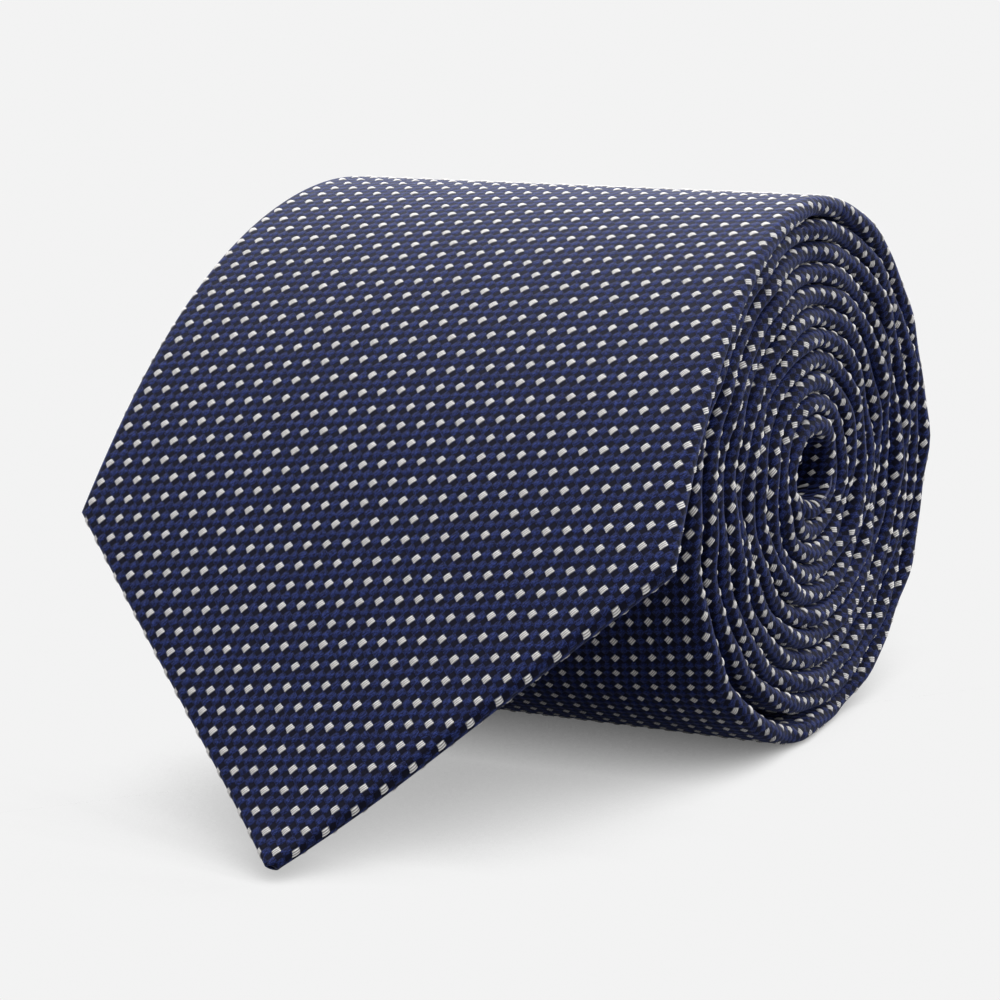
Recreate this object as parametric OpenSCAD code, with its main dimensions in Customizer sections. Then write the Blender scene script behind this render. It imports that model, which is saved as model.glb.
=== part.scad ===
// Rolled silk necktie, millimetres.
// X runs along the roll's axis, -Y is the side that the blade's end hangs down, +Z is up, the floor is z = 0.
// Everything is laid out on one path: it starts at the blade's point, climbs to the top of the roll and
// winds inwards to the tail's point. A place on the tie is [x, n] at a station of that path, where n is
// the height above the tie's middle layer, positive on the tie's front.

/* [Blade] */
// Width of the blade across its corners
blade_w = 84; // [74:1:90]
// Depth of the V-shaped hem on the back of the point, across the cloth
hem_depth = 17; // [14:1:20]
// Distance from the point to the bar tack that closes the back
tack_s = 94; // [84:1:98]
// Steepest slope of the hanging blade end, in degrees
flap_slope = 57; // [54:1:60]
// Length over which the blade end bends down from the top of the roll
bend_l = 87; // [82:1:90]

/* [Neck and tail] */
// Width of the narrow neck
neck_w = 35; // [30:1:40]
// Distance from the blade's point at which the tie has narrowed to the neck
neck_s = 900; // [800:10:1000]
// Width of the tail across its corners
tail_w = 50; // [44:1:56]

/* [Roll] */
// Outer radius of the roll at the top
roll_r = 35.4; // [35:0.1:36]
// Radius of the hole left in the middle
core_r = 1.6; // [1.4:0.1:3]
// Growth of the radius per turn
pitch = 2.75; // [2.7:0.05:2.9]
// How far the outermost turn stands off the next one at the lower front
loose_gap = 1.6; // [1.4:0.1:2.4]

/* [Cloth] */
// Thickness of the folded tie
tie_t = 2.5; // [2.4:0.05:2.5]
// Thickness of the silk shell
silk_t = 0.4; // [0.3:0.05:0.4]

/* [Hidden] */

navy = [0.09, 0.13, 0.36];
ivory = [0.86, 0.85, 0.80];
thread_navy = [0.05, 0.07, 0.20];

play = 0.05;             // clearance between neighbouring layers
joint_gap = 0.3;         // clearance across the hinge line
root_lift = 0.35;        // extra height of the outer turn where the blade end leaves the roll
turn_step = 15;          // degrees between stations on the blade's turns
inner_step = 30;         // and on the neck's and tail's, where the radius is small
first_turn = 7.5;        // first station, so that a facet lies level under the roll
loose_from = 130;        // turn angles between which the outer turn stands off
loose_to = 330;
taper_power = 3.4;       // how the blade narrows: 1 would be a straight line
edge_drift = 0.104;      // slope of the blade's right edge before it runs flush
flush_s = 110;           // distance from the point at which the edges become flush
chamfer = 0.5;           // bevel of the folded edges, under twice the silk's thickness
tail_lean = 0.85;        // how far the tail's point leans to the flush end: 1 keeps its edge flush
slit = 0.15;             // half the gap between the two folded-back sides
tail_hem = 11;           // V hem and bar tack of the tail, measured from its point
tail_tack = 60;

half_t = tie_t/2;
lining_top = half_t - silk_t - play;
lining_bottom = -half_t + silk_t + 0.25;
tipping_top = lining_bottom - play;
tipping_bottom = -half_t + silk_t + play;

// The roll: radius of the tie's outer face at turn angle a, 0 at the top, growing towards the back.
function stand_off(a) = a > loose_from && a < loose_to
    ? loose_gap*pow(sin(180*(a - loose_from)/(loose_to - loose_from)), 2) : 0;
function free_r(a) = roll_r - pitch*a/360 - root_lift*min(1, a/90) + stand_off(a);
roll_z = min(free_r(172.5), free_r(187.5))*cos(7.5);
function outer_r(a) = a > 150 && a < 210 ? min(free_r(a), -roll_z/cos(a)) : free_r(a);

// The blade end: it bends down ever more slowly, runs straight, and its toe turns out a little on the floor.
mid_r = roll_r - half_t;
toe_l = 16;
toe_turn = 12;
function sum(v) = v*[for (i = v) 1];
function slope_at(u) = flap_slope*(2*u - u*u);
function bend_y(u, k = 24) = -bend_l*u/k*sum([for (i = [0:k - 1]) cos(slope_at(u*(i + 0.5)/k))]);
function bend_drop(u, k = 24) = bend_l*u/k*sum([for (i = [0:k - 1]) sin(slope_at(u*(i + 0.5)/k))]);
function toe_slope(v) = flap_slope - toe_turn*v/toe_l;
tip_z = half_t*cos(toe_slope(toe_l)) + 0.15;
toe_drop = toe_l*sin(toe_slope(toe_l/2));
straight_l = (roll_z + mid_r - bend_drop(1) - toe_drop - tip_z)/sin(flap_slope);
flap_l = bend_l + straight_l + toe_l;

// Distance along the tie from the blade's point, at a turn angle and back again.
core_a = 360*(roll_r - root_lift - tie_t - core_r)/pitch;
function s_of(a) = flap_l + PI/180*(mid_r*a - pitch*a*a/720);
tie_l = s_of(core_a);
blade_end_a = first_turn + 1260;
neck_end_a = first_turn + 2160;
echo(tie_length = tie_l, blade_end_length = flap_l, turns = core_a/360);
echo(hinge_at = [0, -middle_y, roll_z + roll_r], roll_axis_z = roll_z);

// Width of the tie, its right edge and the middle between its edges, at a distance s from the point.
function full_w(s) = s < neck_s
    ? neck_w + (blade_w - neck_w)*pow(1 - max(0, s - blade_w/2)/(neck_s - blade_w/2), taper_power)
    : neck_w + (tail_w - neck_w)*min(1, (s - neck_s)/(tie_l - tail_w/2 - neck_s));
function half_w(s) = min(full_w(s)/2, s, tie_l - s);
function right_x(s) = blade_w/2 - edge_drift*min(max(0, s - blade_w/2), flush_s - blade_w/2);
function mid_x(s) = right_x(s) - full_w(s)/2 + tail_lean*max(0, full_w(s)/2 - tie_l + s);

// Half the width of the opening between the folded-back sides on the tie's back.
function opening(s) =
    s < hem_depth ? slit
    : s < blade_w/2 ? slit + s - hem_depth
    : s < tack_s ? slit + (blade_w/2 - hem_depth)*(tack_s - s)/(tack_s - blade_w/2)
    : s < tie_l - tail_tack ? slit
    : s < tie_l - tail_w/2 ? slit + (tail_w/2 - tail_hem)*(s - tie_l + tail_tack)/(tail_tack - tail_w/2)
    : s < tie_l - tail_hem ? slit + tie_l - s - tail_hem : slit;

// A station is [distance s, y and z of the middle layer, outward normal's y and z].
function flap_station(s) = let (
        d = flap_l - s,
        u = min(1, d/bend_l),
        run = min(max(0, d - bend_l), straight_l),
        v = max(0, d - bend_l - straight_l),
        y = bend_y(u) - run*cos(flap_slope) - v*cos(toe_slope(v/2)),
        z = roll_z + mid_r - bend_drop(u) - run*sin(flap_slope) - v*sin(toe_slope(v/2)),
        a = u < 1 ? slope_at(u) : toe_slope(v))
    [s, y, z, -sin(a), cos(a)];
function roll_station(a) = let (r = outer_r(a) - half_t)
    [s_of(a), r*sin(a), roll_z + r*cos(a), sin(a), cos(a)];
function on_station(st, p) = [p[0], st[1] - middle_y + p[1]*st[3], st[2] + p[1]*st[4]];

// The frame's origin is halfway between the toe and the back of the roll.
tip_s = 1.5;                             // the sewn point is this blunt
toe_y = flap_station(tip_s)[1] - half_t*sin(toe_slope(toe_l - tip_s));
back_y = max([for (a = [first_turn:turn_step:180]) outer_r(a)*sin(a)]);
middle_y = (toe_y + back_y)/2;

function flap_stations(from, to) = [
    for (s = [from, each [for (k = [from + 6:6:to - 3]) k], to]) flap_station(s)];
function tip_station(s) = let (part = (s - tip_s)/(hem_depth - tip_s))
    flap_station(tip_s)*(1 - part) + flap_station(hem_depth)*part;
function point_stations(from, to) = concat(
    [tip_station(from), flap_station(hem_depth), flap_station(28)], flap_stations(blade_w/2, to));
function turns(from, to, step) = [
    for (a = [from, each [for (k = [first_turn:step:to - 1]) if (k > from + 1) k], to]) roll_station(a)];
// The last corner of the inner turns before an angle, and a place part of the way along the facet that
// starts at one of those corners.
function corner(a) = first_turn + inner_step*floor((a - first_turn)/inner_step);
function on_facet(a, part) = roll_station(a)*(1 - part) + roll_station(a + inner_step)*part;
tipping_end_s = blade_w/2 + 60;          // on one of the shell's own stations
tail_end_a = corner(core_a - 10);
tail_tack_a = corner(core_a - 540);

// One closed solid through a row of stations: section(s) gives the same number of points at every s,
// and ends lists the faces that close its two ends.
module along(stations, section, ends = [[0, 1, 2, 3]]) {
    rings = [for (st = stations) [for (p = section(st[0])) on_station(st, p)]];
    n = len(rings[0]);
    last = len(rings) - 1;
    polyhedron(
        points = [for (ring = rings) each ring],
        faces = [
            for (face = ends) [for (i = [len(face) - 1:-1:0]) face[i]],
            for (k = [0:last - 1], i = [0:n - 1]) each [
                [k*n + i, k*n + (i + 1)%n, (k + 1)*n + (i + 1)%n],
                [k*n + i, (k + 1)*n + (i + 1)%n, (k + 1)*n + i]],
            for (face = ends) [for (i = face) last*n + i]],
        convexity = 10);
}

// The silk shell: one layer on the front, folded round both edges to meet in the middle of the back.
function shell_section(s) = let (
        w = half_w(s), x = mid_x(s), g = min(opening(s), w - silk_t - 0.2),
        c = min(chamfer, w/2), i = w - silk_t, t = half_t, b = half_t - silk_t)
    [[x + g, -t], [x + w - c, -t], [x + w, -t + c], [x + w, t - c], [x + w - c, t],
     [x - w + c, t], [x - w, t - c], [x - w, -t + c], [x - w + c, -t], [x - g, -t],
     [x - g, -b], [x - i, -b], [x - i, b], [x + i, b], [x + i, -b], [x + g, -b]];
shell_ends = [
    [0, 1, 14, 15], [1, 2, 14], [2, 3, 13, 14], [3, 4, 13], [4, 5, 12, 13],
    [5, 6, 12], [6, 7, 11, 12], [7, 8, 11], [8, 9, 10, 11]];
// A flat layer inside the shell, between two heights and set in from the edges.
function layer(s, low, high, inset) = let (w = half_w(s) - inset, x = mid_x(s))
    [[x - w, low], [x + w, low], [x + w, high], [x - w, high]];
// A narrow band between two distances from the middle.
function band(s, left, right, low, high) = let (x = mid_x(s))
    [[x + left, low], [x + right, low], [x + right, high], [x + left, high]];

silk = function (s) shell_section(s);
wool = function (s) layer(s, lining_bottom, lining_top, silk_t + 0.6);
lining = function (s) layer(s, tipping_bottom, tipping_top, silk_t + 0.2);
seam_thread = function (s) band(s, -0.1, 0.1, -half_t + 0.05, -half_t + silk_t - play);

hinge_a = joint_gap/2/roll_r*180/PI;     // the roll's share of the clearance, as a turn angle

module blade_panel_end() color(navy)
    along(point_stations(tip_s, flap_l - joint_gap/2), silk, shell_ends);
module blade_panel_rolled() color(navy)
    along(turns(hinge_a, blade_end_a - 0.7, turn_step), silk, shell_ends);
module neck_panel() color(navy)
    along(turns(blade_end_a, neck_end_a - 1.2, inner_step), silk, shell_ends);
module tail_panel() color(navy)
    along(turns(neck_end_a, tail_end_a, inner_step), silk, shell_ends);

module interlining_end() color(ivory)
    along(point_stations(tip_s + 1, flap_l - joint_gap/2), wool);
module blade_interlining() color(ivory) along(turns(hinge_a, blade_end_a - 0.7, turn_step), wool);
module tail_interlining() color(ivory)
    along(turns(blade_end_a, tail_end_a - inner_step, inner_step), wool);

module blade_tipping() color(navy)
    along(point_stations(tip_s + 1.5, tipping_end_s), lining);
module tail_tipping() color(navy)
    along(turns(corner(core_a - 480), tail_end_a - inner_step, inner_step), lining);

// A row of stitches that follows one edge of a point, in the gap beside the tipping.
module edge_row(stations, side) {
    row = function (s) let (x = side*(half_w(s) - silk_t - 0.3), m = mid_x(s))
        [[m + x - 0.05, -0.5], [m + x + 0.05, -0.5], [m + x + 0.05, -0.3], [m + x - 0.05, -0.3]];
    along(stations, row);
}
module blade_tipping_stitches() color(thread_navy)
    for (side = [-1, 1]) edge_row(concat([tip_station(4)],
        [for (s = [hem_depth, 28, blade_w/2]) flap_station(s)]), side);
module tail_tipping_stitches() color(thread_navy)
    for (side = [-1, 1]) edge_row(turns(corner(core_a - 240), corner(core_a - 60), inner_step), side);

// The bar tacks lie across the seam where the back opens towards a point.
module blade_bar_tack() color(ivory)
    along([flap_station(tack_s + 0.2), flap_station(tack_s + 1.6)],
        function (s) band(s, -3.5, 3.5, -half_t - 0.55, -half_t - 0.15));
module tail_bar_tack() color(ivory)
    along([for (part = [0.3, 0.5]) on_facet(tail_tack_a, part)],
        function (s) band(s, -3, 3, -half_t - 0.16, -half_t - 0.06));

module slip_stitch_end() color(thread_navy)
    along(flap_stations(tipping_end_s - 6, flap_l - joint_gap/2), seam_thread);
module slip_stitch_rolled() color(thread_navy)
    along(concat(turns(hinge_a, blade_end_a, turn_step),
        turns(blade_end_a + inner_step, tail_tack_a, inner_step)), seam_thread);

// The stitched joins between the three shell panels, and between the two lengths of interlining.
module blade_neck_seam() color(thread_navy)
    along([for (k = [0.6, 0.1]) roll_station(blade_end_a - k)], silk, shell_ends);
module neck_tail_seam() color(thread_navy)
    along([for (k = [1.1, 0.2]) roll_station(neck_end_a - k)], silk, shell_ends);
module interlining_seam() color(ivory) along([for (k = [0.6, 0.1]) roll_station(blade_end_a - k)], wool);

// The keeper loop crosses the back of the blade in the space left by the loose outer turn.
keeper_a = 226;
keeper_half_l = 18;
keeper_low = -half_t - 1.05;
keeper_high = -half_t - 0.45;
keeper = [for (a = [-7, 7]) roll_station(keeper_a + a)];
module keeper_loop() color(navy)
    along(keeper, function (s) band(s, -keeper_half_l, keeper_half_l, keeper_low, keeper_high));
module keeper_loop_stitches() color(thread_navy)
    for (side = [-1, 1]) along(keeper, function (s)
        band(s, side*(keeper_half_l + 0.8) - 0.6, side*(keeper_half_l + 0.8) + 0.6,
            keeper_low, keeper_high + 0.1));

// A plain label lies flat on the back, one corner further in.
label = [for (a = [292.5, 307.5, 322.5]) roll_station(a)];
module care_label() color(ivory)
    along(label, function (s) band(s, -11, 11, -half_t - 0.14, -half_t - play));
module care_label_stitches() color(thread_navy)
    for (side = [-1, 1]) along(label, function (s)
        band(s, side*11.5 - 0.3, side*11.5 + 0.3, -half_t - 0.14, -half_t - play));

blade_panel_end();
blade_panel_rolled();
neck_panel();
tail_panel();
interlining_end();
blade_interlining();
tail_interlining();
blade_tipping();
tail_tipping();
blade_tipping_stitches();
tail_tipping_stitches();
blade_bar_tack();
tail_bar_tack();
slip_stitch_end();
slip_stitch_rolled();
blade_neck_seam();
neck_tail_seam();
interlining_seam();
keeper_loop();
keeper_loop_stitches();
care_label();
care_label_stitches();
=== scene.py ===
"""A rolled silk necktie: a folded shell of spotted silk over a wool interlining, wound into a roll."""
import math
import bpy
import numpy as np
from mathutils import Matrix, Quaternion, Vector


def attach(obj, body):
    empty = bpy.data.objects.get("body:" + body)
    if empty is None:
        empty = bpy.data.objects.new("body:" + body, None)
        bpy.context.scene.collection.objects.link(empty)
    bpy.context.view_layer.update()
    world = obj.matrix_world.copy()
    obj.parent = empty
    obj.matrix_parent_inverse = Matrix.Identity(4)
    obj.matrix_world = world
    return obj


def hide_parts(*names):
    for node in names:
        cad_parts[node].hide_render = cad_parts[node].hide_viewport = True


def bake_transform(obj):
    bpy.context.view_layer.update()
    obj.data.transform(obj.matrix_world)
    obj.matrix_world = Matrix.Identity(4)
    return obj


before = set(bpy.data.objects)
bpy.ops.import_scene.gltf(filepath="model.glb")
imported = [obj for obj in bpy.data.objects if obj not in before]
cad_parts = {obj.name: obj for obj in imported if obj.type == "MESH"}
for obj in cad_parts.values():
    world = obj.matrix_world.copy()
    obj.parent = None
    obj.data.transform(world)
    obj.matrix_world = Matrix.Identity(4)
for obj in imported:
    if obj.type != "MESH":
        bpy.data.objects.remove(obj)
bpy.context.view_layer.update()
scene = bpy.context.scene
MM = 0.001

# ---------------------------------------------------------------- camera, light and floor
CAMERA_TARGET = (-0.00040, 0.00129, 0.03251)
CAMERA_AZIMUTH, CAMERA_ELEVATION, CAMERA_TILT = 31.03, 13.75, -2.91
CAMERA_DISTANCE, CAMERA_LENS = 0.46874, 132.07


def studio_camera():
    data = bpy.data.cameras.new("studio_camera")
    data.lens, data.sensor_width = CAMERA_LENS, 36.0
    data.clip_start, data.clip_end = 0.01, 50.0
    camera = bpy.data.objects.new("studio_camera", data)
    scene.collection.objects.link(camera)
    azimuth, elevation = math.radians(CAMERA_AZIMUTH), math.radians(CAMERA_ELEVATION)
    back = Vector((math.cos(elevation)*math.sin(azimuth), -math.cos(elevation)*math.cos(azimuth),
                   math.sin(elevation)))
    camera.rotation_mode = "QUATERNION"
    camera.location = Vector(CAMERA_TARGET) + back*CAMERA_DISTANCE
    turn = Quaternion((0, 0, 1), math.radians(CAMERA_TILT))
    camera.rotation_quaternion = (-back).to_track_quat("-Z", "Y") @ turn
    scene.camera = camera


def sun(name, azimuth, elevation, strength, softness):
    """A broad soft light that comes from an azimuth (0 is the front) and an elevation."""
    data = bpy.data.lights.new(name, "SUN")
    data.energy, data.angle = strength, math.radians(softness)
    lamp = bpy.data.objects.new(name, data)
    scene.collection.objects.link(lamp)
    a, e = math.radians(azimuth), math.radians(elevation)
    towards = Vector((math.cos(e)*math.sin(a), -math.cos(e)*math.cos(a), math.sin(e)))
    lamp.rotation_mode = "QUATERNION"
    lamp.rotation_quaternion = towards.to_track_quat("Z", "Y")
    lamp.location = towards


BACKDROP = 0.895                          # brightness of the background and the open floor
FRONT_LIGHT, BACK_LIGHT = 0.46, 2.9       # brightness of the room before and behind the tie
CONTACT = 0.04                            # how far the soft shadow reaches round what stands on the floor
SHADOW_LEAN = (0.7, 0.0, 0.7)             # the way the floor looks for what shades it
SHADOW_LIFT, SHADOW_POWER = 1.17, 1.4
FLOOR_HALF, FLOOR_Z = 12.0, -0.0003


def for_camera(nodes, links, lit, seen, output):
    """Shows one shader to the camera and another one to the light."""
    path, mix = nodes.new("ShaderNodeLightPath"), nodes.new("ShaderNodeMixShader")
    links.new(path.outputs["Is Camera Ray"], mix.inputs[0])
    links.new(lit.outputs[0], mix.inputs[1])
    links.new(seen.outputs[0], mix.inputs[2])
    links.new(mix.outputs[0], nodes[output].inputs["Surface"])


def room():
    """A white room, brighter above and behind the tie."""
    world = bpy.data.worlds.new("soft_room")
    scene.world = world
    world.use_nodes = True
    nodes, links = world.node_tree.nodes, world.node_tree.links
    way, split = nodes.new("ShaderNodeTexCoord"), nodes.new("ShaderNodeSeparateXYZ")
    behind, bright = nodes.new("ShaderNodeMath"), nodes.new("ShaderNodeMapRange")
    behind.operation = "MULTIPLY_ADD"
    behind.inputs[1].default_value = 0.8
    links.new(way.outputs["Generated"], split.inputs[0])
    links.new(split.outputs["Z"], behind.inputs[0])
    links.new(split.outputs["Y"], behind.inputs[2])
    for name, value in (("From Min", 0), ("From Max", 1.1), ("To Min", FRONT_LIGHT), ("To Max", BACK_LIGHT)):
        bright.inputs[name].default_value = value
    links.new(behind.outputs[0], bright.inputs["Value"])
    walls, seen = nodes["Background"], nodes.new("ShaderNodeBackground")
    for shader in (walls, seen):
        shader.inputs["Color"].default_value = (1, 1, 1, 1)
    links.new(bright.outputs[0], walls.inputs["Strength"])
    seen.inputs["Strength"].default_value = BACKDROP
    for_camera(nodes, links, walls, seen, "World Output")


def pale_floor():
    """A plain floor as bright as the background, darker only in the soft shadow round the tie."""
    mesh = bpy.data.meshes.new("floor")
    mesh.from_pydata([(x*FLOOR_HALF, y*FLOOR_HALF, FLOOR_Z) for x, y in ((-1, -1), (1, -1), (1, 1), (-1, 1))],
                     [], [(0, 1, 2, 3)])
    floor = bpy.data.objects.new("floor", mesh)
    scene.collection.objects.link(floor)
    pale = bpy.data.materials.new("pale_floor")
    pale.use_nodes = True
    shader = pale.node_tree.nodes["Principled BSDF"]
    shader.inputs["Base Color"].default_value = (0.3, 0.3, 0.3, 1)
    shader.inputs["Roughness"].default_value = 0.9
    shader.inputs["Specular IOR Level"].default_value = 0.0
    nodes, links = pale.node_tree.nodes, pale.node_tree.links
    near, aim = nodes.new("ShaderNodeAmbientOcclusion"), nodes.new("ShaderNodeCombineXYZ")
    glow = nodes.new("ShaderNodeEmission")
    near.samples = 16
    near.inputs["Distance"].default_value = CONTACT
    for target, value in zip(aim.inputs, SHADOW_LEAN):
        target.default_value = value
    links.new(aim.outputs[0], near.inputs["Normal"])
    level = near.outputs["AO"]
    for operation, value in (("MULTIPLY", SHADOW_LIFT), ("POWER", SHADOW_POWER), ("MULTIPLY", BACKDROP)):
        step = nodes.new("ShaderNodeMath")
        step.operation, step.use_clamp = operation, True
        step.inputs[1].default_value = value
        links.new(level, step.inputs[0])
        level = step.outputs[0]
    links.new(level, glow.inputs["Strength"])
    for_camera(nodes, links, shader, glow, "Material Output")
    mesh.materials.append(pale)


studio_camera()
room()
sun("top_light", -160, 66, 1.0, 40)
sun("front_light", -25, 48, 0.8, 50)
pale_floor()
scene.view_settings.view_transform = "Standard"

# ---------------------------------------------------------------- the tie's path, in millimetres
BLADE_W, NECK_W, TAIL_W = 84.0, 35.0, 50.0
NECK_S, TAPER_POWER = 900.0, 3.4
HEM_DEPTH, TACK_S = 17.0, 94.0
TAIL_HEM, TAIL_TACK, TAIL_LEAN = 11.0, 60.0, 0.85
EDGE_DRIFT, FLUSH_S, SLIT = 0.104, 110.0, 0.15
FLAP_SLOPE, BEND_L, TOE_L, TOE_TURN = 57.0, 87.0, 16.0, 12.0
ROLL_R, CORE_R, PITCH, ROOT_LIFT = 35.4, 1.6, 2.75, 0.35
LOOSE_GAP, LOOSE_FROM, LOOSE_TO = 1.6, 130.0, 330.0
CORNER_S = BLADE_W/2                      # distance from the point to the blade's two corners
TIE_T, SILK_T = 2.5, 0.4
HALF_T = TIE_T/2
MID_R = ROLL_R - HALF_T
BLADE_END_A, NECK_END_A = 1267.5, 2167.5
TURNS_A = 360*(ROLL_R - ROOT_LIFT - TIE_T - CORE_R)/PITCH
RAD = math.pi/180
FACET = 15.0                              # degrees between stations on the outer turn
LEVEL_FROM, LEVEL_TO = 150, 210           # turn angles between which the outer turn lies level on the floor
TIP_CLEAR, TOE_AT = 0.15, 1.5             # the point's height over the floor, and where its foremost edge is


def stand_off(a):
    inside = (a > LOOSE_FROM) & (a < LOOSE_TO)
    return np.where(inside, LOOSE_GAP*np.sin(math.pi*(a - LOOSE_FROM)/(LOOSE_TO - LOOSE_FROM))**2, 0)


def free_r(a):
    a = np.asarray(a, float)
    return ROLL_R - PITCH*a/360 - ROOT_LIFT*np.minimum(1, a/90) + stand_off(a)


ROLL_Z = float(min(free_r(180 - FACET/2), free_r(180 + FACET/2))*math.cos(FACET/2*RAD))


def outer_r(a):
    """Radius of the tie's outer face at turn angle a: 0 at the top, growing to the back, level below."""
    below = np.where((a > LEVEL_FROM) & (a < LEVEL_TO), -ROLL_Z/np.cos(a*RAD), np.inf)
    return np.minimum(free_r(a), below)


def slope_at(u):
    return FLAP_SLOPE*(2*u - u*u)


def bend(u):
    """Forward run and drop of the bend at a share u of its length."""
    k = (np.arange(24) + 0.5)/24
    slope = slope_at(np.asarray(u, float)[..., None]*k)*RAD
    step = BEND_L*np.asarray(u, float)/24
    return -step*np.cos(slope).sum(-1), step*np.sin(slope).sum(-1)


TIP_Z = HALF_T*math.cos((FLAP_SLOPE - TOE_TURN)*RAD) + TIP_CLEAR
TOE_DROP = TOE_L*math.sin((FLAP_SLOPE - TOE_TURN/2)*RAD)
STRAIGHT_L = (ROLL_Z + MID_R - float(bend(1.0)[1]) - TOE_DROP - TIP_Z)/math.sin(FLAP_SLOPE*RAD)
FLAP_L = BEND_L + STRAIGHT_L + TOE_L


def s_of(a):
    return FLAP_L + RAD*(MID_R*a - PITCH*a*a/720)


TIE_L = s_of(TURNS_A)


def turn_of(s):
    c = PITCH/720
    return (MID_R - np.sqrt(np.maximum(MID_R**2 - 4*c*np.maximum(s - FLAP_L, 0)/RAD, 0)))/(2*c)


def stations(s):
    """Middle layer's y and z at each distance s from the point, and the outward normal's y and z."""
    s = np.asarray(s, float)
    d = FLAP_L - s
    u = np.clip(d/BEND_L, 0, 1)
    run = np.clip(d - BEND_L, 0, STRAIGHT_L)
    v = np.maximum(0, d - BEND_L - STRAIGHT_L)
    forward, drop = bend(u)
    toe = (FLAP_SLOPE - TOE_TURN*v/2/TOE_L)*RAD
    y = forward - run*math.cos(FLAP_SLOPE*RAD) - v*np.cos(toe)
    z = ROLL_Z + MID_R - drop - run*math.sin(FLAP_SLOPE*RAD) - v*np.sin(toe)
    slope = np.where(u < 1, slope_at(u), FLAP_SLOPE - TOE_TURN*v/TOE_L)*RAD
    a = turn_of(s)
    r = outer_r(a) - HALF_T
    rolled = s >= FLAP_L
    return (np.where(rolled, r*np.sin(a*RAD), y), np.where(rolled, ROLL_Z + r*np.cos(a*RAD), z),
            np.where(rolled, np.sin(a*RAD), -np.sin(slope)), np.where(rolled, np.cos(a*RAD), np.cos(slope)))


def full_w(s):
    left_over = 1 - np.clip((s - CORNER_S)/(NECK_S - CORNER_S), 0, 1)
    narrowing = NECK_W + (BLADE_W - NECK_W)*left_over**TAPER_POWER
    widening = NECK_W + (TAIL_W - NECK_W)*np.clip((s - NECK_S)/(TIE_L - TAIL_W/2 - NECK_S), 0, 1)
    return np.where(s < NECK_S, narrowing, widening)


def half_w(s):
    return np.minimum(np.minimum(full_w(s)/2, s), TIE_L - s)


def mid_x(s):
    right = CORNER_S - EDGE_DRIFT*np.clip(s - CORNER_S, 0, FLUSH_S - CORNER_S)
    return right - full_w(s)/2 + TAIL_LEAN*np.maximum(0, full_w(s)/2 - TIE_L + s)


def opening(s):
    """Half the gap between the folded-back sides on the back of the tie."""
    hem, tail_s = CORNER_S - HEM_DEPTH, TIE_L - s
    tail_hem = TAIL_W/2 - TAIL_HEM
    blade = np.where(s < CORNER_S, np.maximum(0, s - HEM_DEPTH),
                     hem*np.clip((TACK_S - s)/(TACK_S - CORNER_S), 0, 1))
    tail = np.where(tail_s < TAIL_W/2, np.maximum(0, tail_s - TAIL_HEM),
                    tail_hem*np.clip((TAIL_TACK - tail_s)/(TAIL_TACK - TAIL_W/2), 0, 1))
    return SLIT + np.where(s < NECK_S, blade, tail)


TOE_Y = float(stations(TOE_AT)[0] - HALF_T*math.sin((FLAP_SLOPE - TOE_TURN*(TOE_L - TOE_AT)/TOE_L)*RAD))
BACK_Y = max(float(outer_r(np.array(a))*math.sin(a*RAD)) for a in np.arange(FACET/2, 180, FACET))
MIDDLE_Y = (TOE_Y + BACK_Y)/2


def wander(s, seed):
    """Small slow irregularity along the rolled turns, nothing on the hanging blade end."""
    fade = np.clip((s - FLAP_L - 8)/40, 0, 1)
    waves = ((0.26, 61.0), (0.20, 33.0), (0.13, 17.3), (0.08, 9.1))
    return fade*sum(h*np.sin(2*math.pi*s/l + seed*(i + 1)*1.7) for i, (h, l) in enumerate(waves))


def thin(s):
    """The cloth is pressed thinner towards each sewn point."""
    return 0.5 + 0.5*np.clip(np.minimum(s, TIE_L - s)/13, 0, 1)**0.7


def place(s, x, n):
    """A point of the tie in metres: x across, n above the middle layer, at distance s from the point."""
    y, z, ny, nz = stations(s)
    n = n*thin(s)
    return np.stack(np.broadcast_arrays(x, y - MIDDLE_Y + n*ny, z + n*nz), -1)*MM


# ---------------------------------------------------------------- mesh helpers
def new_piece(name, points, faces, uv=None):
    """uv holds one pair for each point."""
    mesh = bpy.data.meshes.new(name)
    mesh.from_pydata([tuple(p) for p in np.asarray(points, float).reshape(-1, 3)], [], faces)
    if uv is not None:
        layer = mesh.uv_layers.new(name="UVMap")
        corner = np.zeros(len(mesh.loops), np.int32)
        mesh.loops.foreach_get("vertex_index", corner)
        layer.data.foreach_set("uv", np.asarray(uv, np.float32).reshape(-1, 2)[corner].ravel())
    mesh.polygons.foreach_set("use_smooth", [True]*len(mesh.polygons))
    mesh.update()
    piece = bpy.data.objects.new(name, mesh)
    scene.collection.objects.link(piece)
    return piece


def grid_faces(rows, columns, start=0, flip=False):
    i, j = np.meshgrid(np.arange(rows - 1), np.arange(columns - 1), indexing="ij")
    a = start + i*columns + j
    quads = np.stack([a, a + 1, a + columns + 1, a + columns], -1).reshape(-1, 4)
    return (quads[:, ::-1] if flip else quads).tolist()


def slab(name, front, behind, uv):
    """A closed sheet between two grids of points; uv holds one pair for each point of a grid."""
    n, m = front.shape[:2]
    faces = grid_faces(n, m) + grid_faces(n, m, n*m, flip=True)
    for i in range(n - 1):
        a, b = i*m, (i + 1)*m
        faces.append((a, b, b + n*m, a + n*m))
        a, b = a + m - 1, b + m - 1
        faces.append((b, a, a + n*m, b + n*m))
    for j in range(m - 1):
        faces.append((j + 1, j, j + n*m, j + 1 + n*m))
        a = (n - 1)*m + j
        faces.append((a, a + 1, a + 1 + n*m, a + n*m))
    points = np.concatenate([front.reshape(-1, 3), behind.reshape(-1, 3)])
    return new_piece(name, points, faces, np.concatenate([uv.reshape(-1, 2)]*2))


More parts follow.
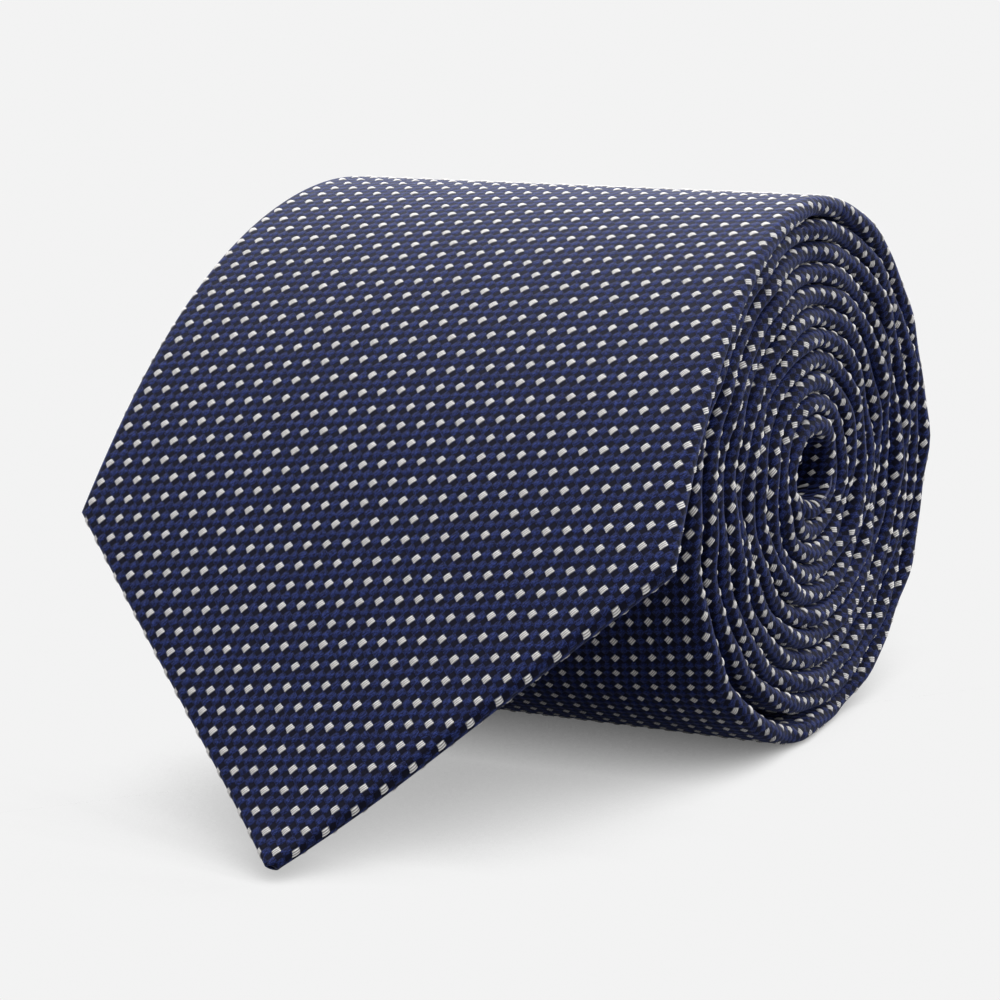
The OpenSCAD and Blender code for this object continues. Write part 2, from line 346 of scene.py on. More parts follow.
BACK_STEPS, FOLD_STEPS, FRONT_STEPS = 6, 9, 14


def folded_section(s, depth):
    """The shell's outline at one distance: x, n and the way round it (0 in the middle of the front).

    depth is how far inside the outer face, 0 or the silk's thickness."""
    w = max(float(half_w(s)) + float(wander(s, 2.3)), 0.3)
    r = min(HALF_T, w)
    gap = min(float(opening(s)), w - r*0.5)
    straight = w - r
    inner = min(gap, straight)
    t = HALF_T - depth
    turn = np.linspace(math.pi/2, -math.pi/2, FOLD_STEPS + 1)
    right = [(x, t, x) for x in np.linspace(0, straight, FRONT_STEPS//2 + 1)[:-1]]
    right += [(straight + (r - depth)*math.cos(q), t*math.sin(q), straight + r*(math.pi/2 - q)) for q in turn]
    right += [(x, -t, straight + math.pi*r + straight - x)
              for x in np.linspace(straight, inner, BACK_STEPS + 1)[1:]]
    left = [(-x, n, -u) for x, n, u in right[:0:-1]]
    return np.array(left + right)


def shell_face(s_values, depth):
    """Points and UV of one face of the folded silk."""
    rows = np.array([folded_section(s, depth) for s in s_values])
    x = rows[..., 0] + mid_x(s_values)[:, None] + wander(s_values, 1.1)[:, None]
    uv = np.stack(np.broadcast_arrays(rows[..., 2], s_values[:, None]), -1)*MM
    return place(s_values[:, None], x, rows[..., 1]), uv


def shell(name, s_values):
    """The folded silk, closed, with the cloth's own thickness."""
    (points, uv), (inside, _) = shell_face(s_values, 0), shell_face(s_values, SILK_T)
    return slab(name, points, inside, uv)


def outer_face(name, s_values):
    """Only the outer face of the folded silk, for laying things on."""
    points, uv = shell_face(s_values, 0)
    return new_piece(name, points, grid_faces(*points.shape[:2]), uv)


def drop(piece):
    mesh = piece.data
    bpy.data.objects.remove(piece)
    bpy.data.meshes.remove(mesh)


def cloth_area(s_values, width):
    """Flat area in square metres of a strip whose width follows a function of s."""
    s = np.linspace(min(s_values), max(s_values), 400)
    w = width(s)
    return float(((w[1:] + w[:-1])/2*np.diff(s)).sum())*MM*MM


# ---------------------------------------------------------------- shader node groups
def socket(group, name, kind, value=None, output=False):
    made = group.interface.new_socket(name=name, in_out="OUTPUT" if output else "INPUT", socket_type=kind)
    if value is not None:
        made.default_value = value
    return made


class Maker:
    """Short names for making and joining nodes in one tree."""

    def __init__(self, tree):
        self.tree, self.nodes, self.links = tree, tree.nodes, tree.links

    def node(self, kind, **settings):
        made = self.nodes.new(kind)
        for key, value in settings.items():
            setattr(made, key, value)
        return made

    def put(self, value, target):
        if hasattr(value, "is_output"):
            self.links.new(value, target)
        else:
            target.default_value = value

    def math(self, operation, *values, clamp=False):
        made = self.node("ShaderNodeMath", operation=operation, use_clamp=clamp)
        for value, target in zip(values, made.inputs):
            self.put(value, target)
        return made.outputs[0]

    def vector(self, operation, *values):
        made = self.node("ShaderNodeVectorMath", operation=operation)
        for value, target in zip(values, made.inputs):
            self.put(value, target)
        return made.outputs["Vector"]

    def mix(self, share, a, b, blend="MIX"):
        made = self.node("ShaderNodeMix", data_type="RGBA", blend_type=blend)
        self.put(share, made.inputs[0])
        self.put(a, made.inputs[6])
        self.put(b, made.inputs[7])
        return made.outputs[2]

    def noise(self, vector, scale, detail=2.0, roughness=0.5):
        made = self.node("ShaderNodeTexNoise")
        self.put(vector, made.inputs["Vector"])
        made.inputs["Scale"].default_value = scale
        made.inputs["Detail"].default_value = detail
        made.inputs["Roughness"].default_value = roughness
        return made.outputs[0]

    def combine(self, x, y, z=0.0):
        made = self.node("ShaderNodeCombineXYZ")
        for value, target in zip((x, y, z), made.inputs):
            self.put(value, target)
        return made.outputs[0]

    def ramp(self, value, low, high):
        made = self.node("ShaderNodeMapRange", interpolation_type="SMOOTHSTEP")
        for v, target in zip((value, low, high), made.inputs):
            self.put(v, target)
        return made.outputs[0]

    def scale(self, vector, amount):
        made = self.node("ShaderNodeVectorMath", operation="SCALE")
        self.put(vector, made.inputs[0])
        self.put(amount, made.inputs["Scale"])
        return made.outputs[0]

    def random(self, low, high, seed):
        made = self.node("FunctionNodeRandomValue", data_type="FLOAT")
        self.put(low, made.inputs[2])
        self.put(high, made.inputs[3])
        self.put(seed, made.inputs["Seed"])
        return made.outputs[1]

    def split(self, vector):
        made = self.node("ShaderNodeSeparateXYZ")
        self.put(vector, made.inputs[0])
        return made.outputs


SPOT_ALONG, SPOT_ACROSS = 4.3, 3.2      # the spots' repeat along and across the floats, in millimetres


def spotted_weave():
    """A plain weave of flat bundles at 45 degrees to the tie: navy and ivory ones over near-black ones."""
    tree = bpy.data.node_groups.new("spotted_weave", "ShaderNodeTree")
    for name, value in (("Float Length", SPOT_ALONG/4), ("Float Width", SPOT_ACROSS/4), ("Strands", 4.0),
                        ("Bulge", 0.0), ("Gloss", 0.5)):
        socket(tree, name, "NodeSocketFloat", value)
    for name, value in (("Navy", (0.02, 0.03, 0.14, 1)), ("Light Navy", (0.04, 0.06, 0.2, 1)),
                        ("Black", (0.006, 0.006, 0.012, 1)), ("Ivory", (0.7, 0.68, 0.62, 1))):
        socket(tree, name, "NodeSocketColor", value)
    socket(tree, "Color", "NodeSocketColor", output=True)
    for name in ("Height", "Roughness"):
        socket(tree, name, "NodeSocketFloat", output=True)
    m = Maker(tree)
    take, give = m.node("NodeGroupInput").outputs, m.node("NodeGroupOutput").inputs
    uv = m.node("ShaderNodeUVMap", uv_map="UVMap").outputs[0]
    mm = m.split(m.vector("MULTIPLY", uv, (1000.0, 1000.0, 0.0)))
    slack = [m.math("MULTIPLY_ADD", m.noise(m.vector("ADD", uv, (k, 2*k, 0.0)), 420.0, 2.0), 0.3, -0.15)
             for k in (0.0, 3.1)]
    u, v = m.math("ADD", mm[0], slack[0]), m.math("ADD", mm[1], slack[1])
    along = m.math("MULTIPLY", m.math("ADD", u, v), math.sqrt(0.5))
    across = m.math("MULTIPLY", m.math("SUBTRACT", u, v), math.sqrt(0.5))
    at = [m.math("ADD", m.math("DIVIDE", way, take[size]), 0.5)
          for way, size in ((along, "Float Length"), (across, "Float Width"))]
    cell = [m.math("FLOOR", q) for q in at]
    x, y = (m.math("ABSOLUTE", m.math("SUBTRACT", m.math("SUBTRACT", q, k), 0.5)) for q, k in zip(at, cell))
    both = m.math("ADD", cell[0], cell[1])
    over = m.math("COMPARE", m.math("FLOORED_MODULO", both, 2.0), 0.0, 0.4)
    spot = m.math("MULTIPLY", m.math("COMPARE", m.math("FLOORED_MODULO", both, 4.0), 0.0, 0.4),
                  m.math("COMPARE", m.math("FLOORED_MODULO", cell[0], 2.0), 0.0, 0.4))
    jitter = m.node("ShaderNodeTexWhiteNoise", noise_dimensions="3D")
    m.put(m.combine(cell[0], cell[1], 0.0), jitter.inputs["Vector"])
    chance = jitter.outputs["Value"]
    fuzz = m.noise(m.combine(m.math("MULTIPLY", along, 0.9), m.math("MULTIPLY", across, 2.2)), 2.6, 4.0, 0.82)
    weft_fuzz = m.noise(m.combine(m.math("MULTIPLY", along, 7.0), m.math("MULTIPLY", across, 1.1)), 1.6, 2.0)
    # the bundles on top bulge over the edges of the ones that pass below them
    reach = m.math("MAXIMUM", x, y)
    free = m.math("SUBTRACT", m.math("SUBTRACT", 0.56, take["Bulge"]), m.math("MULTIPLY", fuzz, 0.22))
    below = m.math("MULTIPLY", m.math("SUBTRACT", 1.0, over),
                   m.ramp(m.math("SUBTRACT", free, reach), -0.05, 0.05))

    def crown(power):
        sides = [m.math("SUBTRACT", 1.0, m.math("POWER", m.math("MULTIPLY", q, 2.0), power)) for q in (x, y)]
        return m.math("MULTIPLY", *sides)

    strand = m.math("ABSOLUTE", m.math("SINE", m.math("MULTIPLY", m.math("MULTIPLY", at[1], take["Strands"]),
                                                      math.pi)))
    weft_strand = m.math("ABSOLUTE", m.math("SINE", m.math("MULTIPLY", at[0], 5*math.pi)))
    shade = m.math("ADD", m.math("MULTIPLY", chance, 0.3), m.math("MULTIPLY_ADD", fuzz, 5.0, -2.2),
                   clamp=True)
    navy = m.mix(shade, take["Navy"], take["Light Navy"])
    # painted shade: each navy float is darker between its strands, multiplied by a random grain
    strand_shade_and_grain = m.math("MULTIPLY", m.math("MULTIPLY_ADD", strand, 0.4, 0.6),
                     m.math("MULTIPLY_ADD", m.ramp(fuzz, 0.42, 0.57), 0.68, 0.32))
    navy = m.mix(1.0, navy, m.combine(strand_shade_and_grain, strand_shade_and_grain, strand_shade_and_grain), "MULTIPLY")
    black = m.mix(m.math("MULTIPLY", weft_fuzz, 0.18), take["Black"], take["Navy"])
    ground = m.mix(below, navy, black)
    # painted shade: the raised bundles turn towards black at their edges, where they dip into the gaps
    # between them
    bundle_edge_shade = m.math("MULTIPLY", over, m.ramp(m.math("MULTIPLY_ADD", fuzz, -0.16, reach), 0.26, 0.42))
    ground = m.mix(m.math("MULTIPLY", bundle_edge_shade, 0.75), ground, take["Black"])
    # painted shade between the strands of the ivory cells
    ivory_strand_shade = m.math("MULTIPLY_ADD", m.math("POWER", strand, 0.6), 0.55, 0.45)
    ivory = m.mix(1.0, take["Ivory"], m.combine(ivory_strand_shade, ivory_strand_shade, ivory_strand_shade), "MULTIPLY")
    m.links.new(m.mix(spot, ground, ivory), give["Color"])
    top = m.math("ADD", m.math("MULTIPLY", crown(2.4), 0.75), m.math("MULTIPLY", strand, 0.2))
    low = m.math("MULTIPLY_ADD", weft_strand, 0.12, -0.25)
    m.links.new(m.math("MULTIPLY_ADD", below, m.math("SUBTRACT", low, top), top), give["Height"])
    m.links.new(m.math("MULTIPLY_ADD", fuzz, 0.25, take["Gloss"]), give["Roughness"])
    return tree


def brushed_fibre():
    """Soft uneven fibres, for wool, floats and thread, on object coordinates; painted shade darkens them in
    any groove.
    """
    tree = bpy.data.node_groups.new("brushed_fibre", "ShaderNodeTree")
    socket(tree, "Scale", "NodeSocketFloat", 900.0)
    socket(tree, "Groove Shade Depth", "NodeSocketFloat", 0.0)
    socket(tree, "Base", "NodeSocketColor", (0.5, 0.5, 0.5, 1))
    socket(tree, "Shade", "NodeSocketColor", (0.3, 0.3, 0.3, 1))
    socket(tree, "Color", "NodeSocketColor", output=True)
    socket(tree, "Height", "NodeSocketFloat", output=True)
    m = Maker(tree)
    take, give = m.node("NodeGroupInput").outputs, m.node("NodeGroupOutput").inputs
    scaled = m.scale(m.node("ShaderNodeTexCoord").outputs["Object"], take["Scale"])
    fine = m.noise(scaled, 1.0, 4.0, 0.65)
    broad = m.noise(scaled, 0.18)
    share = m.ramp(m.math("MULTIPLY_ADD", fine, 0.7, m.math("MULTIPLY", broad, 0.4)), 0.3, 0.8)
    # painted shade: the colour darkens where the stored attribute marks a groove between strands
    groove_shade = m.math("POWER", m.node("ShaderNodeAttribute", attribute_name="groove_shade").outputs["Fac"], 1.5)
    lit = m.math("SUBTRACT", 1.0, m.math("MULTIPLY", groove_shade, take["Groove Shade Depth"]))
    colour = m.mix(share, take["Shade"], take["Base"])
    m.links.new(m.mix(1.0, colour, m.combine(lit, lit, lit), "MULTIPLY"), give["Color"])
    m.links.new(fine, give["Height"])
    return tree


def ribbed_satin():
    """Fine slanting ribs along the UV map, for the lining and the woven label, with painted shade in the
    troughs between the ribs.
    """
    tree = bpy.data.node_groups.new("ribbed_satin", "ShaderNodeTree")
    for name, value in (("Ribs Per Millimetre", 3.0), ("Slant", 1.0), ("Contrast", 0.35)):
        socket(tree, name, "NodeSocketFloat", value)
    socket(tree, "Base", "NodeSocketColor", (0.02, 0.03, 0.12, 1))
    socket(tree, "Shade", "NodeSocketColor", (0.008, 0.01, 0.04, 1))
    socket(tree, "Color", "NodeSocketColor", output=True)
    socket(tree, "Height", "NodeSocketFloat", output=True)
    m = Maker(tree)
    take, give = m.node("NodeGroupInput").outputs, m.node("NodeGroupOutput").inputs
    uv = m.node("ShaderNodeUVMap", uv_map="UVMap").outputs[0]
    mm = m.split(m.vector("MULTIPLY", uv, (1000.0, 1000.0, 0.0)))
    way = m.math("ADD", m.math("MULTIPLY", mm[0], take["Slant"]), mm[1])
    wobble = m.noise(uv, 900.0, 2.0)
    wave = m.math("SINE", m.math("MULTIPLY", m.math("ADD", way, m.math("MULTIPLY", wobble, 0.25)),
                                 m.math("MULTIPLY", take["Ribs Per Millimetre"], 2*math.pi)))
    rib = m.math("MULTIPLY_ADD", wave, 0.5, 0.5)
    # painted shade: the colour is darker in the troughs between the ribs, plus a random mottle
    share = m.math("MULTIPLY", m.math("SUBTRACT", 1.0, rib), take["Contrast"])
    trough_shade_and_mottle = m.math("ADD", share, m.math("MULTIPLY", wobble, 0.25), clamp=True)
    m.links.new(m.mix(trough_shade_and_mottle, take["Base"], take["Shade"]), give["Color"])
    m.links.new(rib, give["Height"])
    return tree


GROUPS = {"weave": spotted_weave(), "fibre": brushed_fibre(), "satin": ribbed_satin()}


def finish_of(name, group, inputs, roughness, bump, distance, sheen=0.0, sheen_tint=(1, 1, 1, 1),
              specular=0.3):
    """A cloth or thread finish from one of the groups; distance is the relief's depth in millimetres."""
    material = bpy.data.materials.new(name)
    material.use_nodes = True
    m = Maker(material.node_tree)
    shader = m.nodes["Principled BSDF"]
    cloth = m.node("ShaderNodeGroup", node_tree=GROUPS[group])
    for key, value in inputs.items():
        cloth.inputs[key].default_value = value
    m.links.new(cloth.outputs["Color"], shader.inputs["Base Color"])
    if roughness is None:
        m.links.new(cloth.outputs["Roughness"], shader.inputs["Roughness"])
    else:
        shader.inputs["Roughness"].default_value = roughness
    relief = m.node("ShaderNodeBump")
    relief.inputs["Strength"].default_value = bump
    relief.inputs["Distance"].default_value = distance*MM
    m.links.new(cloth.outputs["Height"], relief.inputs["Height"])
    m.links.new(relief.outputs[0], shader.inputs["Normal"])
    shader.inputs["Sheen Weight"].default_value = sheen
    shader.inputs["Sheen Roughness"].default_value = 0.35
    shader.inputs["Sheen Tint"].default_value = sheen_tint
    shader.inputs["Specular IOR Level"].default_value = specular
    return material


# The silk's own ivory cells are painted dark grey: painted shade, seen in the grooves between the raised
# ivory floats laid over them.
SILK = finish_of("spotted_navy_silk", "weave", {
    "Navy": (0.008, 0.013, 0.07, 1), "Light Navy": (0.03, 0.05, 0.21, 1), "Black": (0.0017, 0.0017, 0.005, 1),
    "Ivory": (0.2, 0.195, 0.19, 1)}, None, 0.9, 0.13, 0.15, (0.42, 0.5, 1.0, 1), 0.1)
# The ivory floats get painted shade in the grooves between their strands, as deep as the groove depth says.
IVORY_FLOAT = finish_of("ivory_float", "fibre", {
    "Scale": 1500.0, "Base": (0.95, 0.93, 0.92, 1), "Shade": (0.7, 0.685, 0.675, 1), "Groove Shade Depth": 0.95},
    0.4, 0.3, 0.02, 0.2)
WOOL = finish_of("brushed_wool", "fibre", {
    "Scale": 700.0, "Base": (0.78, 0.74, 0.64, 1), "Shade": (0.55, 0.5, 0.41, 1)}, 0.95, 0.6, 0.15, 0.4)
LINING = finish_of("navy_satin_lining", "satin", {
    "Base": (0.02, 0.03, 0.12, 1), "Shade": (0.008, 0.011, 0.05, 1)},
    0.38, 0.5, 0.03, 0.2, (0.6, 0.65, 1, 1), 0.5)
NAVY_THREAD = finish_of("navy_thread", "fibre", {
    "Scale": 1800.0, "Base": (0.03, 0.045, 0.17, 1), "Shade": (0.01, 0.014, 0.06, 1)}, 0.5, 0.4, 0.03, 0.2)
IVORY_THREAD = finish_of("ivory_thread", "fibre", {
    "Scale": 1500.0, "Base": (0.82, 0.80, 0.72, 1), "Shade": (0.6, 0.57, 0.5, 1)}, 0.45, 0.4, 0.03, 0.2)
LABEL = finish_of("woven_label", "satin", {
    "Ribs Per Millimetre": 4.0, "Slant": 0.0, "Contrast": 0.5, "Base": (0.8, 0.78, 0.7, 1),
    "Shade": (0.5, 0.47, 0.4, 1)}, 0.55, 0.5, 0.04, 0.1)


# ---------------------------------------------------------------- geometry node trees
def spot_tree():
    """Ivory floats on a flat lattice of points, then laid on the cloth through its UV map."""
    tree = bpy.data.node_groups.new("ivory_spots", "GeometryNodeTree")
    socket(tree, "Geometry", "NodeSocketGeometry")
    socket(tree, "Cloth", "NodeSocketObject")
    for name, value in (("Float Length", 0.0013), ("Float Width", 0.00074), ("Rise", 0.00017)):
        socket(tree, name, "NodeSocketFloat", value)
    socket(tree, "Strands", "NodeSocketInt", 3)
    socket(tree, "Seed", "NodeSocketInt", 3)
    socket(tree, "Material", "NodeSocketMaterial")
    socket(tree, "Geometry", "NodeSocketGeometry", output=True)
    m = Maker(tree)
    take, give = m.node("NodeGroupInput").outputs, m.node("NodeGroupOutput").inputs
    pitch = m.math("DIVIDE", take["Float Width"], take["Strands"])
    strand = m.node("GeometryNodeMeshGrid")
    strand.inputs["Vertices X"].default_value = 5
    strand.inputs["Vertices Y"].default_value = 5
    m.put(take["Float Length"], strand.inputs["Size X"])
    m.put(m.math("MULTIPLY", pitch, 1.02), strand.inputs["Size Y"])
    at = m.split(m.node("GeometryNodeInputPosition").outputs[0])
    lengthwise = m.math("MULTIPLY", m.math("DIVIDE", at[0], take["Float Length"]), 2.0)
    sideways = m.math("MULTIPLY", m.math("DIVIDE", at[1], pitch), 2.0)
    arch = m.math("SUBTRACT", 1.0, m.math("POWER", m.math("ABSOLUTE", lengthwise), 2.4))
    round_top = m.math("SUBTRACT", 1.0, m.math("MULTIPLY", m.math("MULTIPLY", sideways, sideways), 0.8))
    lift = m.math("MULTIPLY", m.math("MULTIPLY_ADD", m.math("MULTIPLY", arch, round_top), 1.25, -0.25),
                  take["Rise"])
    # painted shade: each strand is marked darker towards its sides and ends, where it dips between its
    # neighbours
    groove_shade_store = m.node("GeometryNodeStoreNamedAttribute", data_type="FLOAT", domain="POINT")
    groove_shade_store.inputs["Name"].default_value = "groove_shade"
    m.put(strand.outputs["Mesh"], groove_shade_store.inputs["Geometry"])
    m.put(m.math("MAXIMUM", m.math("MULTIPLY", m.math("ABSOLUTE", sideways), 0.95),
                 m.math("MULTIPLY", m.math("POWER", m.math("ABSOLUTE", lengthwise), 3.0), 0.6)),
          groove_shade_store.inputs["Value"])
    shaped = m.node("GeometryNodeSetPosition")
    m.put(groove_shade_store.outputs[0], shaped.inputs["Geometry"])
    m.put(m.combine(0.0, 0.0, lift), shaped.inputs["Offset"])
    side_by_side = m.node("GeometryNodeMeshLine")
    m.put(take["Strands"], side_by_side.inputs["Count"])
    m.put(m.combine(0.0, m.math("MULTIPLY", m.math("SUBTRACT", pitch, take["Float Width"]), 0.5), 0.0),
          side_by_side.inputs["Start Location"])
    m.put(m.combine(0.0, pitch, 0.0), side_by_side.inputs["Offset"])
    bundle = m.node("GeometryNodeInstanceOnPoints")
    m.put(side_by_side.outputs[0], bundle.inputs["Points"])
    m.put(shaped.outputs[0], bundle.inputs["Instance"])
    m.put(m.combine(m.random(0.78, 1.04, m.math("ADD", take["Seed"], 4.0)), 1.0, 1.0), bundle.inputs["Scale"])
    one_spot = m.node("GeometryNodeRealizeInstances")
    m.put(bundle.outputs[0], one_spot.inputs[0])
    laid = m.node("GeometryNodeInstanceOnPoints")
    m.put(take["Geometry"], laid.inputs["Points"])
    m.put(one_spot.outputs[0], laid.inputs["Instance"])
    spin = m.node("FunctionNodeEulerToRotation")
    m.put(m.combine(0.0, 0.0, m.random(math.radians(41), math.radians(49), take["Seed"])), spin.inputs[0])
    m.put(spin.outputs[0], laid.inputs["Rotation"])
    m.put(m.combine(m.random(0.92, 1.08, m.math("ADD", take["Seed"], 1.0)), 1.0, 1.0), laid.inputs["Scale"])
    flat = m.node("GeometryNodeRealizeInstances")
    m.put(laid.outputs[0], flat.inputs[0])
    flat_at = m.split(m.node("GeometryNodeInputPosition").outputs[0])
    where = m.combine(flat_at[0], flat_at[1], 0.0)
    cloth = m.node("GeometryNodeObjectInfo", transform_space="ORIGINAL")
    m.put(take["Cloth"], cloth.inputs["Object"])
    uv = m.node("GeometryNodeInputNamedAttribute", data_type="FLOAT_VECTOR")
    uv.inputs["Name"].default_value = "UVMap"
    found = []
    for kind in ("GeometryNodeInputPosition", "GeometryNodeInputNormal"):
        sample = m.node("GeometryNodeSampleUVSurface", data_type="FLOAT_VECTOR")
        m.put(cloth.outputs["Geometry"], sample.inputs["Mesh"])
        m.put(m.node(kind).outputs[0], sample.inputs["Value"])
        m.put(uv.outputs["Attribute"], sample.inputs["Source UV Map"])
        m.put(where, sample.inputs["Sample UV"])
        found.append(sample)
    on_cloth = m.node("GeometryNodeSetPosition")
    m.put(m.vector("ADD", found[0].outputs[0], m.scale(found[1].outputs[0], flat_at[2])),
          on_cloth.inputs["Position"])
    missed = m.node("FunctionNodeBooleanMath", operation="NOT")
    m.put(found[0].outputs["Is Valid"], missed.inputs[0])
    kept = m.node("GeometryNodeStoreNamedAttribute", data_type="BOOLEAN", domain="POINT")
    kept.inputs["Name"].default_value = "missed"
    m.put(flat.outputs[0], kept.inputs["Geometry"])
    m.put(missed.outputs[0], kept.inputs["Value"])
    m.put(kept.outputs[0], on_cloth.inputs["Geometry"])
    was_missed = m.node("GeometryNodeInputNamedAttribute", data_type="BOOLEAN")
    was_missed.inputs["Name"].default_value = "missed"
    trimmed = m.node("GeometryNodeDeleteGeometry", domain="POINT")
    m.put(on_cloth.outputs[0], trimmed.inputs["Geometry"])
    m.put(was_missed.outputs["Attribute"], trimmed.inputs["Selection"])
    smooth = m.node("GeometryNodeSetShadeSmooth")
    m.put(trimmed.outputs[0], smooth.inputs[0])
    coloured = m.node("GeometryNodeSetMaterial")
    m.put(smooth.outputs[0], coloured.inputs["Geometry"])
    m.put(take["Material"], coloured.inputs["Material"])
    m.put(coloured.outputs[0], give["Geometry"])
    return tree


def thread_tree():
    """Round thread along every row of joined points."""
    tree = bpy.data.node_groups.new("thread_rows", "GeometryNodeTree")
    socket(tree, "Geometry", "NodeSocketGeometry")
    socket(tree, "Thread Radius", "NodeSocketFloat", 0.0001)
    socket(tree, "Sides", "NodeSocketInt", 6)
    socket(tree, "Material", "NodeSocketMaterial")
    socket(tree, "Geometry", "NodeSocketGeometry", output=True)
    m = Maker(tree)
    take, give = m.node("NodeGroupInput").outputs, m.node("NodeGroupOutput").inputs
    rows = m.node("GeometryNodeMeshToCurve")
    m.put(take["Geometry"], rows.inputs[0])
    outline = m.node("GeometryNodeCurvePrimitiveCircle")
    m.put(take["Sides"], outline.inputs["Resolution"])
    m.put(take["Thread Radius"], outline.inputs["Radius"])
    thread = m.node("GeometryNodeCurveToMesh")
    m.put(rows.outputs[0], thread.inputs["Curve"])
    m.put(outline.outputs["Curve"], thread.inputs["Profile Curve"])
    thread.inputs["Fill Caps"].default_value = True
    whole = m.node("GeometryNodeRealizeInstances")
    m.put(thread.outputs[0], whole.inputs[0])
    coloured = m.node("GeometryNodeSetMaterial")
    m.put(whole.outputs[0], coloured.inputs["Geometry"])
    m.put(take["Material"], coloured.inputs["Material"])
    m.put(coloured.outputs[0], give["Geometry"])
    return tree


SPOT_TREE, THREAD_TREE = spot_tree(), thread_tree()


def grown(name, base, tree, inputs):
    """Runs a geometry node tree on a base object and returns the plain mesh that it makes."""
    modifier = base.modifiers.new(tree.name, "NODES")
    modifier.node_group = tree
    ids = {item.name: item.identifier for item in tree.interface.items_tree
           if item.item_type == "SOCKET" and item.in_out == "INPUT"}
    for key, value in inputs.items():
        modifier[ids[key]] = value
    base.update_tag()
    bpy.context.view_layer.update()
    mesh = bpy.data.meshes.new_from_object(base.evaluated_get(bpy.context.evaluated_depsgraph_get()))
    mesh.name = name
    base.modifiers.remove(modifier)
    drop(base)
    if "missed" in mesh.attributes:
        mesh.attributes.remove(mesh.attributes["missed"])
    piece = bpy.data.objects.new(name, mesh)
    scene.collection.objects.link(piece)
    return piece


SPOT_ROWS, SPOT_COLUMNS = (-720, 60), (-40, 300)      # the lattice's first and last places
CLOTH_REACH = 90.0                                    # more than half the way round the shell


def spots(name, cloth, s_from, s_to, wanted):
    """Spots of the lattice between two distances wherever wanted(u, s) is true, in millimetres."""
    row, col = np.meshgrid(np.arange(*SPOT_ROWS), np.arange(*SPOT_COLUMNS), indexing="ij")
    across, along = row*SPOT_ACROSS/2, (col + (row % 2)/2)*SPOT_ALONG
    u, s = ((along + across)*math.sqrt(0.5)).ravel(), ((along - across)*math.sqrt(0.5)).ravel()
    near = (s > s_from) & (s < s_to) & (np.abs(u) < CLOTH_REACH)
    points = np.column_stack([u[near], s[near]])
    points = points[wanted(points[:, 0], points[:, 1])]
    base = new_piece(name + "_lattice", np.column_stack([points*MM, np.zeros(len(points))]), [])
    return grown(name, base, SPOT_TREE, {"Cloth": cloth, "Material": IVORY_FLOAT})


def threads(name, rows, radius, material, sides=6):
    """rows: lists of points in metres, one for each stitch."""
    points = np.concatenate([np.asarray(r, float) for r in rows])
    edges, start = [], 0
    for r in rows:
        edges += [(start + k, start + k + 1) for k in range(len(r) - 1)]
        start += len(r)
    mesh = bpy.data.meshes.new(name + "_rows")
    mesh.from_pydata([tuple(p) for p in points], edges, [])
    base = bpy.data.objects.new(name + "_rows", mesh)
    scene.collection.objects.link(base)
    return grown(name, base, THREAD_TREE, {"Thread Radius": radius*MM, "Sides": sides, "Material": material})


def paint(piece, material):
    piece.data.materials.clear()
    piece.data.materials.append(material)
    return piece


def hang(piece, *nodes):
    """Hides the given parts and bakes the piece's transform into its mesh."""
    if nodes:
        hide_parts(*nodes)
    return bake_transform(piece)


def wind(piece, *nodes):
    """The piece stays with the roll."""
    if nodes:
        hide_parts(*nodes)
    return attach(piece, "roll")


# ---------------------------------------------------------------- silk shell
def perimeter(s):
    """The way round the folded shell from one back edge to the other."""
    w = half_w(s)
    return np.maximum(0.5, 2*(w + math.pi*HALF_T/2 - HALF_T + w - HALF_T - np.minimum(opening(s), w - 0.6)))


END_A = 16.0
END_S = s_of(END_A)
s_end = np.concatenate([[0.9, 1.4, 2.2, 3.2, 4.4], np.arange(6, CORNER_S - 1, 1.5), [CORNER_S],
                        np.arange(CORNER_S + 1.4, FLAP_L - 1, 1.4),
                        np.linspace(FLAP_L, END_S, 9)])
s_rolled = s_of(np.concatenate([np.linspace(END_A, 40, 12), np.arange(43, BLADE_END_A, 3), [BLADE_END_A]]))
s_neck = s_of(np.append(np.arange(BLADE_END_A, NECK_END_A - 1, 4), NECK_END_A))
s_tail = s_of(np.append(np.arange(NECK_END_A, TURNS_A - 14, 5), TURNS_A - 8))

silk_end = paint(shell("blade_silk_end", s_end), SILK)
silk_rolled = paint(shell("blade_silk_rolled", s_rolled), SILK)
silk_neck = paint(shell("neck_silk", s_neck), SILK)
silk_tail = paint(shell("tail_silk", s_tail), SILK)

# ---------------------------------------------------------------- ivory spots
outer = {name: outer_face(name + "_face", s)
         for name, s in (("end", s_end), ("rolled", s_rolled), ("neck", s_neck), ("tail", s_tail))}
spots_end = spots("spots_blade_end", outer["end"], 0, END_S, lambda u, s: s > 0)
OUTER_TURN_S = s_of(395)
spots_outer = spots("spots_outer_turn", outer["rolled"], END_S, OUTER_TURN_S,
                    lambda u, s: np.abs(u) < half_w(s) + 3)


def near_edge(side, front, back):
    """True from a margin on the front, round one folded edge, to a margin on the back."""
    def test(u, s):
        edge = half_w(s) - HALF_T
        return (side*u > edge - front) & (side*u < edge + math.pi*HALF_T + back)
    return test


